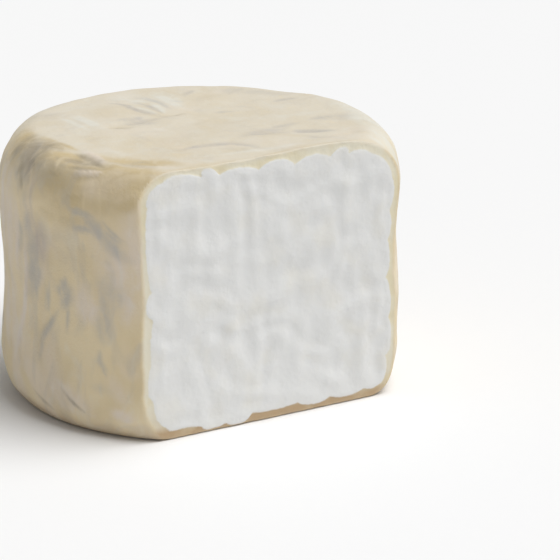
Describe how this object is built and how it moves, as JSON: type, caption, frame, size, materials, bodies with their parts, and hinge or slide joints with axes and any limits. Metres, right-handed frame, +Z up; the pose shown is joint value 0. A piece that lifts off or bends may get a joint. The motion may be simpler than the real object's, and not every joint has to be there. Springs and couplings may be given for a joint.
{
  "type": "cheese wheel",
  "caption": "Small tall soft-ripened cheese wheel with a slice cut off its side, showing the white curd inside.",
  "frame": {"origin": "where the wheel's vertical axis meets the surface that it stands on", "axes": "+Z up along the wheel's axis, the cut face looks along -Y, X runs along the cut"},
  "size_m": [0.088, 0.0747, 0.0594],
  "materials": {
    "cheese": "dull, downy cream and tan rind with grey-green and white blooms; the cut face is white, moist curd with a thin pale yellow band under the rind"
  },
  "bodies": {
    "root": {"cheese_wheel": "cheese"}
  },
  "joints": []
}
